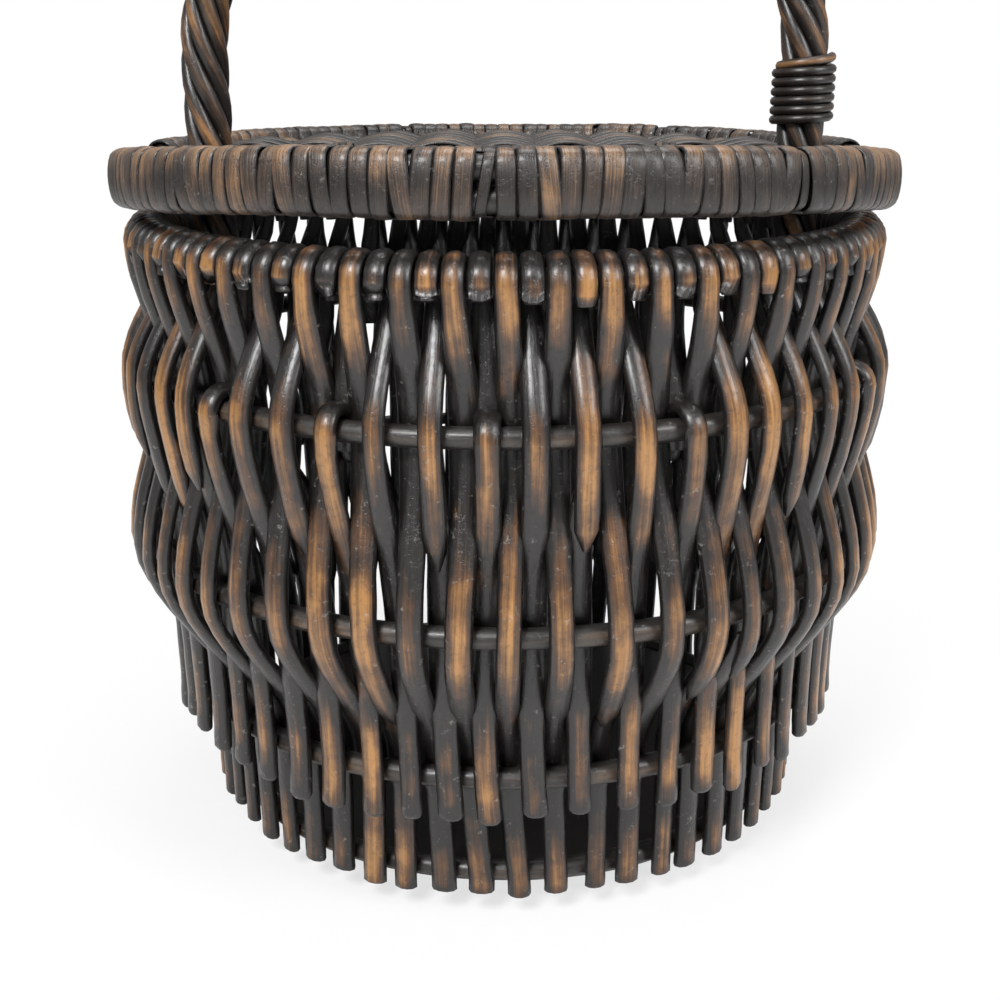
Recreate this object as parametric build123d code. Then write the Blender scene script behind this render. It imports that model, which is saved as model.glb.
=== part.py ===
from build123d import *
import math
import os

# Round willow picnic basket with two hinged half lids and a fixed twisted bow handle.
# Millimetres, +Z up, origin on the floor under the middle of the base, front at -Y.
# Upright stakes weave in and out of five hoops, so the wall is open between them.

# Hoops: radius of the rod's centre line and its height above the floor
base_hoop_radius = 126.0
base_hoop_height = 17.0
waist_hoop_radius = 141.5
waist_hoop_height = 67.0
belly_hoop_radius = 157.5
belly_hoop_height = 132.0
shoulder_hoop_radius = 156.0
shoulder_hoop_height = 206.0
rim_hoop_radius = 150.3
rim_hoop_height = 258.3
hoop_rod_radius = 5.0
rim_rod_radius = 5.5
hoop_joint_gap = 0.4

# Stakes: one half starts outside the base hoop, the other outside the waist hoop
stake_pairs = 56
stake_width = 7.0
stake_thickness = 6.0
stake_seat_gap = 0.15
long_stake_drop = 7.0
short_stake_drop = 15.0
rim_tail_drop = 9.0

# Base board and the ring that it stands on
board_thickness = 6.0
board_edge_gap = 0.3
foot_ring_radius = 104.0
foot_ring_height = 12.0
foot_ring_sides = 40

# Bow handle: a round core with willow strands twisted round it
handle_half_span = 126.3
handle_spring_height = 325.0
handle_core_radius = 3.6
handle_root_rise = 6.5
arch_steps = 24
strand_count = 6
strand_width = 5.8
strand_inner_width = 3.6
strand_depth = 5.4
strand_gap = 0.45
strand_pitch = 105.0
strand_turn_steps = 8
strand_root_height = 222.0

# Round cane bound over the twisted strands, high on the right leg and low on the left
cane_thickness = 3.4
cane_pitch = 3.65
cane_turns = 6
cane_turn_steps = 10
cane_gap = 0.15
right_binding_height = 316.0
left_binding_height = 234.0

# Bridge: two rods that clasp the handle legs and rest on the rim, tied to each other
bridge_rod_radius = 6.8
bridge_half_length = 147.0
bridge_seat_gap = 0.1
clasp_gap = 0.4
tie_width = 12.0
tie_thickness = 1.4
tie_gap = 0.15
tie_places = (-102.0, 0.0, 102.0)

# Lids: a bent frame of two stacked rods in a wrapping of flat skein, and a straight back rod
lid_radius = 165.0
lid_seat_gap = 0.4
frame_width = 14.0
frame_height = 23.5
frame_corner = 3.5
skein_thickness = 1.4
frame_rod_radius = 5.4
frame_rod_shift = 4.95
frame_steps = 22
frame_end_reach = 2.0
back_core_radius = 5.4
back_skein_gap = 0.1
hinge_rise = 14.0
hinge_rod_gap = 0.5
front_lid_lift = 4.2

# Lid weave: straight stakes out from the back rod, and weavers that pass over and under them
lid_stake_count = 9
lid_stake_radius = 2.0
lid_stake_pitch = 29.0
weaver_rows = 12
weaver_pitch = 8.9
weaver_width = 8.0
weaver_thickness = 2.2
weave_rise = 3.5
weave_gap = 0.1
weave_edge_gap = 0.3
weaver_stop = 2.5

# Hinge loops: skein passed round a bridge rod and a lid's back rod
loop_width = 9.0
loop_thickness = 1.5
loop_gap = 0.25
loop_arc_steps = 6
loop_seam = 0.3
loop_places = (-72.5, 72.5)

# Worked out from the sizes above
rim_top = rim_hoop_height + rim_rod_radius + stake_seat_gap + stake_thickness
strand_ring = (handle_core_radius + strand_gap + strand_depth / 2) / math.cos(
    math.pi / strand_turn_steps
)
rope_radius = strand_ring + strand_depth / 2
bridge_offset = rope_radius + clasp_gap + bridge_rod_radius
bridge_height = rim_top + bridge_seat_gap + bridge_rod_radius
lid_bottom = rim_top + lid_seat_gap
hinge_height = lid_bottom + hinge_rise
hinge_offset = bridge_offset + math.sqrt(
    (2 * bridge_rod_radius + tie_thickness + tie_gap + hinge_rod_gap) ** 2
    - (hinge_height - bridge_height) ** 2
)
frame_middle = lid_radius - frame_width / 2
frame_inside = (lid_radius - frame_width) * math.cos(math.radians(90 / frame_steps))


def regular_section(radius, sides, turn=0.0):
    """Corners of a regular section, as (across, bend) pairs."""
    angles = [math.radians(turn) + 2 * math.pi * k / sides for k in range(sides)]
    return [(radius * math.sin(a), radius * math.cos(a)) for a in angles]


def flat_section(width, thickness):
    """Corners of a rectangular section, width across and thickness in the bend."""
    w, t = width / 2, thickness / 2
    return [(w, t), (w, -t), (-w, -t), (-w, t)]


def wedge_section(outer_width, inner_width, thickness):
    """Corners of a section that narrows towards the inside of the bend."""
    t = thickness / 2
    return [(outer_width / 2, t), (inner_width / 2, -t),
            (-inner_width / 2, -t), (-outer_width / 2, t)]


def rounded_section(width, thickness, corner):
    """Corners of a rectangular section with its corners cut off."""
    w, t, c = width / 2, thickness / 2, corner
    return [(w, t - c), (w, c - t), (w - c, -t), (c - w, -t),
            (-w, c - t), (-w, t - c), (c - w, t), (w - c, t)]


def headings(path):
    """The way each point of a path faces, halfway between the runs that meet there."""
    runs = [(b - a).normalized() for a, b in zip(path, path[1:])]
    pairs = zip([runs[0]] + runs, runs + [runs[-1]])
    return [((a + b).normalized(), b) for a, b in pairs]


def solid_through(rings, twisted=False):
    """A flat-faced solid through rings of corners; a twisted side is split into triangles."""
    faces = [Face(Wire.make_polygon(rings[0])), Face(Wire.make_polygon(rings[-1]))]
    for near, far in zip(rings, rings[1:]):
        for k in range(len(near)):
            a, b, c, d = near[k - 1], near[k], far[k], far[k - 1]
            sides = [(a, b, c), (a, c, d)] if twisted else [(a, b, c, d)]
            faces += [Face(Wire.make_polygon(side)) for side in sides]
    return Solid(Shell(faces))


def bent_rod(points, across, section):
    """A rod whose path lies in the plane square to across, mitred at each bend."""
    path = [Vector(*p) for p in points]
    across = Vector(*across)
    rings = []
    for point, (along, run) in zip(path, headings(path)):
        bend = across.cross(along).normalized() * (1 / along.dot(run))
        rings.append([point + across * a + bend * b for a, b in section])
    return solid_through(rings)


def wound_rod(points, outward, section):
    """A rod that winds round a core, with its bend side always facing outward."""
    path = [Vector(*p) for p in points]
    rings = []
    for point, away, (along, _) in zip(path, outward, headings(path)):
        across = along.cross(Vector(*away)).normalized()
        bend = across.cross(along)
        rings.append([point + across * a + bend * b for a, b in section])
    return solid_through(rings, twisted=True)


def round_the_axis(solid, count, first_angle=0.0):
    """Copies of a solid evenly spaced round the basket's axis."""
    return [solid.rotate(Axis.Z, first_angle + 360 * k / count) for k in range(count)]


def write(name, solids):
    export_step(Compound(children=list(solids)), f"parts/{name}.step")


os.makedirs("parts", exist_ok=True)


# Hoops: each is a bent rod with as many straight runs as there are pairs of stakes,
# turned so that every stake meets a run a quarter of the way along it.
def hoop(radius, height, section, sides=stake_pairs):
    step = math.tau / sides
    corner_radius = radius * math.cos(step / 4) / math.cos(step / 2)
    ends = hoop_joint_gap / radius / 2
    angles = [step * (k + 0.25) for k in range(sides + 1)]
    angles[0] += ends
    angles[-1] -= ends
    points = [(corner_radius * math.cos(a), corner_radius * math.sin(a), height) for a in angles]
    return bent_rod(points, (0, 0, 1), section)


rod_section = regular_section(hoop_rod_radius, 6)
rim_section = regular_section(rim_rod_radius, 6, turn=30)
write("rim_hoop", [hoop(rim_hoop_radius, rim_hoop_height, rim_section)])
write("shoulder_hoop", [hoop(shoulder_hoop_radius, shoulder_hoop_height, rod_section)])
write("belly_hoop", [hoop(belly_hoop_radius, belly_hoop_height, rod_section)])
write("waist_hoop", [hoop(waist_hoop_radius, waist_hoop_height, rod_section)])
write("base_hoop", [hoop(base_hoop_radius, base_hoop_height, rod_section)])


# Stakes: a path in one upright plane, as (radius, height), turning at every hoop
def rim_turn(start_outside):
    """Points over the rim hoop, from the side where the stake arrives to the other."""
    reach = (rim_rod_radius + stake_seat_gap + stake_thickness / 2) / math.cos(math.radians(30))
    angles = (0, 60, 120, 180) if start_outside else (180, 120, 60, 0)
    return [
        (rim_hoop_radius + reach * math.cos(math.radians(a)),
         rim_hoop_height + reach * math.sin(math.radians(a)))
        for a in angles
    ]


def woven_turns(crossings, last):
    """Turning points beside the hoops, just clear of each on the run that leans most."""
    reach = hoop_rod_radius + stake_seat_gap + stake_thickness / 2
    turns = [(radius + side * reach, height) for radius, height, side in crossings]
    for _ in range(4):
        path = [turns[0]] + turns + [last]
        leans = [math.atan2(abs(b[0] - a[0]), max(b[1] - a[1], 1)) for a, b in zip(path, path[1:])]
        turns = [
            (radius + side * reach / math.cos(max(leans[i], leans[i + 1])), height)
            for i, (radius, height, side) in enumerate(crossings)
        ]
    return turns


def stake(crossings, drop, start_outside):
    over_rim = rim_turn(start_outside)
    turns = woven_turns(crossings, over_rim[0])
    foot = (turns[0][0], turns[0][1] - drop)
    tail = (over_rim[-1][0], rim_hoop_height - rim_tail_drop)
    path = [foot] + turns + over_rim + [tail]
    section = flat_section(stake_width, stake_thickness)
    return bent_rod([(r, 0, z) for r, z in path], (0, 1, 0), section)


long_stake = stake(
    [(base_hoop_radius, base_hoop_height, 1), (waist_hoop_radius, waist_hoop_height, -1),
     (belly_hoop_radius, belly_hoop_height, 1), (shoulder_hoop_radius, shoulder_hoop_height, -1)],
    long_stake_drop, start_outside=True,
)
short_stake = stake(
    [(waist_hoop_radius, waist_hoop_height, 1), (belly_hoop_radius, belly_hoop_height, -1),
     (shoulder_hoop_radius, shoulder_hoop_height, 1)],
    short_stake_drop, start_outside=False,
)
write("long_stakes", round_the_axis(long_stake, stake_pairs))
write("short_stakes", round_the_axis(short_stake, stake_pairs, 180 / stake_pairs))


# Base: a board inside the base hoop, standing on a ring with a flat underside
board_radius = base_hoop_radius - hoop_rod_radius - board_edge_gap - 0.3
write("base_board", [
    Pos(0, 0, foot_ring_height) * Cylinder(
        board_radius, board_thickness, align=(Align.CENTER, Align.CENTER, Align.MIN)
    )
])
foot_section = rounded_section(foot_ring_height, foot_ring_height, foot_ring_height * 0.29)
write("foot_ring", [
    hoop(foot_ring_radius, foot_ring_height / 2, foot_section, sides=foot_ring_sides)
])


# Handle: one plane curve up the left leg, over the arch and down the right leg
arch_length = math.pi * handle_half_span


def handle_frame(distance, root_height):
    """Point on the handle's centre line and the way out of the bow there."""
    leg = handle_spring_height - root_height
    if distance < leg:
        return Vector(-handle_half_span, 0, root_height + distance), Vector(-1, 0, 0)
    if distance > leg + arch_length:
        height = handle_spring_height - (distance - leg - arch_length)
        return Vector(handle_half_span, 0, height), Vector(1, 0, 0)
    angle = math.pi - (distance - leg) / handle_half_span
    out = Vector(math.cos(angle), 0, math.sin(angle))
    return Vector(0, 0, handle_spring_height) + out * handle_half_span, out


core_root = waist_hoop_height + handle_root_rise
core_path = [(-handle_half_span, 0, core_root)]
for step in range(arch_steps + 1):
    angle = math.pi - math.pi * step / arch_steps
    core_path.append((handle_half_span * math.cos(angle), 0,
                      handle_spring_height + handle_half_span * math.sin(angle)))
core_path.append((handle_half_span, 0, core_root))
write("handle_core", [bent_rod(core_path, (0, 1, 0), regular_section(handle_core_radius, 6))])


def handle_strand(first_angle):
    length = 2 * (handle_spring_height - strand_root_height) + arch_length
    steps = round(length / strand_pitch * strand_turn_steps)
    points, outward = [], []
    for step in range(steps + 1):
        distance = length * step / steps
        centre, out = handle_frame(distance, strand_root_height)
        turn = first_angle - math.tau * distance / strand_pitch
        side = Vector(0, -1, 0)
        away = out * math.cos(turn) + side * math.sin(turn)
        points.append(centre + away * strand_ring)
        outward.append(away)
    section = wedge_section(strand_width, strand_inner_width, strand_depth)
    return wound_rod(points, outward, section)


for number in range(strand_count):
    write(f"handle_strand_{number + 1}", [handle_strand(math.tau * number / strand_count)])


def cane_binding(x, height):
    """Cane wound round a handle leg, centred at the height given."""
    ring = (rope_radius + cane_gap + cane_thickness / 2) / math.cos(math.pi / cane_turn_steps)
    points, outward = [], []
    for step in range(cane_turns * cane_turn_steps + 1):
        turn = math.tau * step / cane_turn_steps
        away = Vector(math.cos(turn), math.sin(turn), 0)
        rise = cane_pitch * (step / cane_turn_steps - cane_turns / 2)
        points.append(Vector(x, 0, height + rise) + away * ring)
        outward.append(away)
    return wound_rod(points, outward, flat_section(cane_thickness, cane_thickness))


write("right_leg_binding", [cane_binding(handle_half_span, right_binding_height)])
write("left_leg_binding", [cane_binding(-handle_half_span, left_binding_height)])


# Bridge between the lids
def rod_along_x(y, z, radius, half_length):
    rod = Cylinder(radius, 2 * half_length, rotation=(0, 90, 0))
    return Pos(0, y, z) * rod


def loop_round(x, width, first, second, gap, thickness, radius):
    """A band of skein round two rods along X whose centres are the two (y, z) points."""
    lean = math.atan2(second[1] - first[1], second[0] - first[0])
    half_step = math.pi / loop_arc_steps / 2
    reach = (radius + gap + thickness / 2) / math.cos(half_step)
    points = []
    for (y, z), start in ((first, math.pi / 2), (second, -math.pi / 2)):
        for k in range(loop_arc_steps):
            turn = lean + start + half_step * (2 * k + 1)
            points.append((x, y + reach * math.cos(turn), z + reach * math.sin(turn)))
    seam = (Vector(*points[0]) + Vector(*points[-1])) / 2
    step = (Vector(*points[0]) - seam).normalized() * (loop_seam / 2)
    path = [seam + step] + points + [seam - step]
    return bent_rod([tuple(p) for p in path], (1, 0, 0), flat_section(width, thickness))


front_bridge = (-bridge_offset, bridge_height)
rear_bridge = (bridge_offset, bridge_height)
front_hinge = (-hinge_offset, hinge_height)
rear_hinge = (hinge_offset, hinge_height)
for side, (y, z) in (("front", front_bridge), ("rear", rear_bridge)):
    write(f"{side}_bridge_rod", [rod_along_x(y, z, bridge_rod_radius, bridge_half_length)])
write("bridge_ties", [
    loop_round(x, tie_width, front_bridge, rear_bridge, tie_gap, tie_thickness, bridge_rod_radius)
    for x in tie_places
])
for side, bridge, hinge in (("front", front_bridge, front_hinge), ("rear", rear_bridge, rear_hinge)):
    write(f"{side}_hinge_loops", [
        loop_round(x, loop_width, bridge, hinge, loop_gap, loop_thickness, bridge_rod_radius)
        for x in loop_places
    ])


# Lids: made closed on the front side, then placed
def frame_path(height):
    """Corners of the bent frame, open at the back rod."""
    end = math.asin((hinge_offset - frame_end_reach) / (lid_radius - frame_width))
    first, last = math.pi + end, math.tau - end
    angles = [first + (last - first) * k / frame_steps for k in range(frame_steps + 1)]
    return [(frame_middle * math.cos(a), frame_middle * math.sin(a), height) for a in angles]


def lid_pieces():
    middle = lid_bottom + frame_height / 2
    rods = [
        bent_rod(frame_path(middle + shift), (0, 0, 1), regular_section(frame_rod_radius, 6))
        for shift in (frame_rod_shift, -frame_rod_shift)
    ]
    outside = rounded_section(frame_height, frame_width, frame_corner)
    inside = rounded_section(
        frame_height - 2 * skein_thickness, frame_width - 2 * skein_thickness,
        frame_corner - skein_thickness * (2 - math.sqrt(2)),
    )
    wrap = bent_rod(frame_path(middle), (0, 0, 1), outside) - bent_rod(
        frame_path(middle), (0, 0, 1), inside
    )

    back_reach = hinge_offset + bridge_rod_radius
    back_half = math.sqrt(frame_inside**2 - back_reach**2) - weave_edge_gap
    back_core = rod_along_x(-hinge_offset, hinge_height, back_core_radius, back_half)
    back_wrap = rod_along_x(-hinge_offset, hinge_height, bridge_rod_radius, back_half) - rod_along_x(
        -hinge_offset, hinge_height, back_core_radius + back_skein_gap, back_half
    )

    weave_height = hinge_height + weave_rise
    places = [(k - (lid_stake_count - 1) / 2) * lid_stake_pitch for k in range(lid_stake_count)]
    back_edge = hinge_offset + bridge_rod_radius + weave_edge_gap
    inner = frame_inside - weave_edge_gap
    stakes = []
    for x in places:
        end = math.sqrt(inner**2 - (abs(x) + lid_stake_radius) ** 2)
        path = [(x, -back_edge, weave_height), (x, -end, weave_height)]
        stakes.append(bent_rod(path, (1, 0, 0), regular_section(lid_stake_radius, 6)))

    reach = lid_stake_radius + weave_gap + weaver_thickness / 2
    swing = reach / math.cos(math.atan2(2 * reach, lid_stake_pitch))
    loop_outside = bridge_rod_radius + loop_gap + loop_thickness
    first_row = hinge_offset + loop_outside + weave_edge_gap + weaver_width / 2
    weavers = []
    for row in range(weaver_rows):
        y = first_row + row * weaver_pitch
        end = math.sqrt(inner**2 - (y + weaver_width / 2) ** 2)
        for x in places:
            if abs(abs(x) - end) < weaver_stop:
                end = abs(x) - weaver_stop
        crossed = [(k, x) for k, x in enumerate(places) if abs(x) < end]
        turns = [(x, -y, weave_height + (swing if (row + k) % 2 else -swing)) for k, x in crossed]
        path = [(-end, *turns[0][1:])] + turns + [(end, *turns[-1][1:])]
        weavers.append(bent_rod(path, (0, 1, 0), flat_section(weaver_width, weaver_thickness)))

    return {
        "frame_rods": rods, "rim_wrap": [wrap], "back_rod": [back_core],
        "back_wrap": [back_wrap], "stakes": stakes, "weavers": weavers,
    }


hinge_line = Axis((0, -hinge_offset, hinge_height), (-1, 0, 0))
for name, solids in lid_pieces().items():
    write(f"front_lid_{name}", [s.rotate(hinge_line, front_lid_lift) for s in solids])
    write(f"rear_lid_{name}", [s.rotate(Axis.Z, 180) for s in solids])
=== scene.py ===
"""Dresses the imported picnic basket: woven willow wall, bow handle and two hinged lids."""

from __future__ import annotations

import logging
import math
from dataclasses import dataclass, field
from enum import Enum

import bpy
import numpy as np
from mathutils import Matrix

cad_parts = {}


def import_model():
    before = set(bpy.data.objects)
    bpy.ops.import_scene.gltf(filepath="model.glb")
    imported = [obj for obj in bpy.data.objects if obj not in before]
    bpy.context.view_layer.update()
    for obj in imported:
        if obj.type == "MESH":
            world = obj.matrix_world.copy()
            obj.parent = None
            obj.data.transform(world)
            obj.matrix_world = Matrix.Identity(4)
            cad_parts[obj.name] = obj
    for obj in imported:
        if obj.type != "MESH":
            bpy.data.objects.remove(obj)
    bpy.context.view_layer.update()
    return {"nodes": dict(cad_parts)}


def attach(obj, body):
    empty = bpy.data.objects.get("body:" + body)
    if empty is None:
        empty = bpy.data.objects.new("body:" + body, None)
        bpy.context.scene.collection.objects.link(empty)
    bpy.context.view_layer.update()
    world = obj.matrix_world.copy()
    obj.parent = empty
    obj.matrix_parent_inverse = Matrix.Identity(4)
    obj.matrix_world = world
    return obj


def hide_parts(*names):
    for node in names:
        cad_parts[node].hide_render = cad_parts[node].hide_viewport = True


LOG = logging.getLogger("basket")
MM = 0.001
SEED = 11


class Body(Enum):
    """The moving bodies of the basket."""

    BASKET = "basket"
    FRONT_LID = "front_lid"
    REAR_LID = "rear_lid"


class Slot(Enum):
    """Material slots of the record."""

    WILLOW = "willow"
    HOOP_ROD = "hoop_rod"
    BASE_WOOD = "base_wood"
    ROPE_WILLOW = "rope_willow"
    CANE = "cane"
    FRAME_ROD = "frame_rod"
    SKEIN = "skein"
    WEAVE = "weave"


@dataclass
class Rod:
    """One willow rod or strip of skein, as a path with its own thickness and wear.

    points are in millimetres, side is the way its width runs and away the way its worn face looks.
    """

    points: np.ndarray
    side: np.ndarray
    away: np.ndarray
    half_width: np.ndarray
    wear: np.ndarray
    tone: float


class TreeBuilder:
    """Adds nodes to a node tree and links them in one call each."""

    def __init__(self, tree: bpy.types.NodeTree) -> None:
        """Works on the tree given."""
        self.tree = tree

    def add(self, kind: str, inputs: dict | None = None, **settings: object) -> bpy.types.Node:
        """Adds one node.

        Args:
            kind: the node's bl_idname.
            inputs: values or output sockets, by input name or index.
            settings: properties of the node, set before its inputs.

        Returns:
            The new node.
        """
        node = self.tree.nodes.new(kind)
        for name, value in settings.items():
            setattr(node, name, value)
        for key, value in (inputs or {}).items():
            socket = node.inputs[key]
            if isinstance(value, bpy.types.NodeSocket):
                self.tree.links.new(value, socket)
            else:
                socket.default_value = value
        return node

    def math(self, operation: str, first: object, second: object = 0.0, clamp: bool = False) -> bpy.types.NodeSocket:
        """Adds a Math node and returns its value."""
        node = self.add("ShaderNodeMath", {0: first, 1: second}, operation=operation, use_clamp=clamp)
        return node.outputs[0]

    def attribute(self, name: str, kind: str = "FLOAT") -> bpy.types.NodeSocket:
        """Reads a named attribute in a geometry tree."""
        node = self.add("GeometryNodeInputNamedAttribute", {"Name": name}, data_type=kind)
        return next(s for s in node.outputs if s.enabled and s.name == "Attribute")

    def store(self, geometry: object, name: str, value: object, kind: str = "FLOAT") -> bpy.types.NodeSocket:
        """Stores a value on the points of a geometry and returns the geometry."""
        node = self.add("GeometryNodeStoreNamedAttribute", {"Geometry": geometry, "Name": name},
                        data_type=kind, domain="POINT")
        socket = next(s for s in node.inputs if s.enabled and s.name == "Value")
        self.tree.links.new(value, socket)
        return node.outputs["Geometry"]


def swept_rods_tree() -> bpy.types.NodeTree:
    """Builds the geometry tree that turns paths into rods with knots and a grain.

    Returns:
        The tree, with inputs for the rods' section, knots, seed and material.
    """
    tree = bpy.data.node_groups.new("Swept rods", "GeometryNodeTree")
    face = tree.interface
    face.new_socket("Geometry", in_out="INPUT", socket_type="NodeSocketGeometry")
    for name, kind in (("Sides", "NodeSocketInt"), ("Flatness", "NodeSocketFloat"),
                       ("Knot Height", "NodeSocketFloat"), ("Knot Spacing", "NodeSocketFloat"),
                       ("Seed", "NodeSocketInt"), ("Material", "NodeSocketMaterial")):
        face.new_socket(name, in_out="INPUT", socket_type=kind)
    face.new_socket("Geometry", in_out="OUTPUT", socket_type="NodeSocketGeometry")
    b = TreeBuilder(tree)
    given = b.add("NodeGroupInput").outputs

    curve = b.add("GeometryNodeMeshToCurve", {"Mesh": given["Geometry"]}).outputs[0]
    curve = b.add("GeometryNodeSetCurveNormal", {"Curve": curve, "Normal": b.attribute("side", "FLOAT_VECTOR")},
                  mode="FREE").outputs[0]
    curve = b.add("GeometryNodeSetCurveRadius", {"Curve": curve, "Radius": b.attribute("thick")}).outputs[0]

    ring = b.add("GeometryNodeCurvePrimitiveCircle", {"Resolution": given["Sides"], "Radius": 1.0}).outputs[0]
    shape = b.add("ShaderNodeCombineXYZ", {"X": 1.0, "Y": given["Flatness"], "Z": 1.0}).outputs[0]
    ring = b.add("GeometryNodeTransform", {"Geometry": ring, "Scale": shape}).outputs[0]
    ring = b.store(ring, "round", b.add("GeometryNodeSplineParameter").outputs["Factor"])
    sweep = b.add("GeometryNodeCurveToMesh", {"Curve": curve, "Profile Curve": ring, "Fill Caps": True})
    if "Scale" in sweep.inputs:
        tree.links.new(b.add("GeometryNodeInputRadius").outputs[0], sweep.inputs["Scale"])
    mesh = sweep.outputs[0]

    tone = b.attribute("tone")
    place = b.add("GeometryNodeInputPosition").outputs[0]
    scaled = b.add("ShaderNodeVectorMath", {0: place, 3: b.math("DIVIDE", 1.0, given["Knot Spacing"])},
                   operation="SCALE").outputs[0]
    shift = b.math("ADD", b.math("MULTIPLY", tone, 40.0), given["Seed"])
    noise = b.add("ShaderNodeTexNoise", {"Vector": scaled, "W": shift, "Scale": 1.0, "Detail": 1.5},
                  noise_dimensions="4D").outputs[0]
    height = b.math("MULTIPLY", b.math("SUBTRACT", noise, 0.5), given["Knot Height"])
    normal = b.add("GeometryNodeInputNormal").outputs[0]
    push = b.add("ShaderNodeVectorMath", {0: normal, 3: height}, operation="SCALE").outputs[0]
    mesh = b.add("GeometryNodeSetPosition", {"Geometry": mesh, "Offset": push}).outputs[0]

    facing = b.add("ShaderNodeVectorMath", {0: normal, 1: b.attribute("away", "FLOAT_VECTOR")},
                   operation="DOT_PRODUCT").outputs["Value"]
    mesh = b.store(mesh, "outward", facing)
    angle = b.math("MULTIPLY", b.attribute("round"), math.tau)
    grain = b.add("ShaderNodeCombineXYZ", {
        "X": b.math("COSINE", angle), "Y": b.math("SINE", angle),
        "Z": b.math("ADD", b.attribute("along"), b.math("MULTIPLY", tone, 25.0)),
    }).outputs[0]
    mesh = b.store(mesh, "grain", grain, "FLOAT_VECTOR")
    mesh = b.add("GeometryNodeSetShadeSmooth", {0: mesh}).outputs[0]
    mesh = b.add("GeometryNodeRealizeInstances", {0: mesh}).outputs[0]
    mesh = b.add("GeometryNodeSetMaterial", {"Geometry": mesh, "Material": given["Material"]}).outputs[0]
    tree.links.new(mesh, b.add("NodeGroupOutput").inputs[0])
    return tree


def worn_stain_group() -> bpy.types.NodeTree:
    """Builds the shader group that gives the share of stain worn off a rod.

    Returns:
        A group with inputs Amount, Contrast and Fibre Scale and outputs Worn, Streak, Dust and Pits.
    """
    tree = bpy.data.node_groups.new("Worn stain", "ShaderNodeTree")
    face = tree.interface
    for name in ("Amount", "Contrast", "Fibre Scale"):
        face.new_socket(name, in_out="INPUT", socket_type="NodeSocketFloat")
    for name in ("Worn", "Streak", "Dust", "Pits"):
        face.new_socket(name, in_out="OUTPUT", socket_type="NodeSocketFloat")
    b = TreeBuilder(tree)
    given = b.add("NodeGroupInput").outputs

    def read(name: str) -> bpy.types.Node:
        """Reads an attribute of the rods."""
        return b.add("ShaderNodeAttribute", attribute_name=name)

    grain = read("grain").outputs["Vector"]
    place = b.add("ShaderNodeTexCoord").outputs["Object"]
    fibre = b.add("ShaderNodeMapping", {"Vector": grain, "Scale": (2.6, 2.6, 26.0)}).outputs[0]
    streak = b.add("ShaderNodeTexNoise", {"Vector": fibre, "Scale": given["Fibre Scale"], "Detail": 4.0,
                                          "Roughness": 0.6}).outputs[0]
    patch = b.add("ShaderNodeTexNoise", {"Vector": place, "Scale": 60.0, "Detail": 3.0}).outputs[0]
    wear = read("wear").outputs["Fac"]
    outward = b.math("MAXIMUM", read("outward").outputs["Fac"], 0.0)
    lit = b.math("MULTIPLY", wear, b.math("POWER", outward, 2.2))
    mixed = b.math("ADD", lit, b.math("MULTIPLY", b.math("SUBTRACT", streak, 0.5), 0.8))
    mixed = b.math("ADD", mixed, b.math("MULTIPLY", b.math("SUBTRACT", patch, 0.5), 1.3))
    mixed = b.math("ADD", mixed, b.math("MULTIPLY", b.math("SUBTRACT", read("tone").outputs["Fac"], 0.5), 0.7))
    offset = b.math("SUBTRACT", given["Amount"], 1.0)
    worn = b.math("MULTIPLY", b.math("ADD", mixed, offset), given["Contrast"], clamp=True)
    specks = b.add("ShaderNodeTexNoise", {"Vector": place, "Scale": 310.0, "Detail": 4.0, "Roughness": 0.7}).outputs[0]
    dust = b.math("MULTIPLY", b.math("SUBTRACT", specks, 0.62), 7.0, clamp=True)
    mottle = b.add("ShaderNodeTexNoise", {"Vector": place, "Scale": 520.0, "Detail": 3.0, "Roughness": 0.65}).outputs[0]
    pits = b.math("MULTIPLY", b.math("SUBTRACT", mottle, 0.52), 5.0, clamp=True)
    out = b.add("NodeGroupOutput")
    for name, value in (("Worn", worn), ("Streak", streak), ("Dust", dust), ("Pits", pits)):
        tree.links.new(value, out.inputs[name])
    return tree


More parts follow.
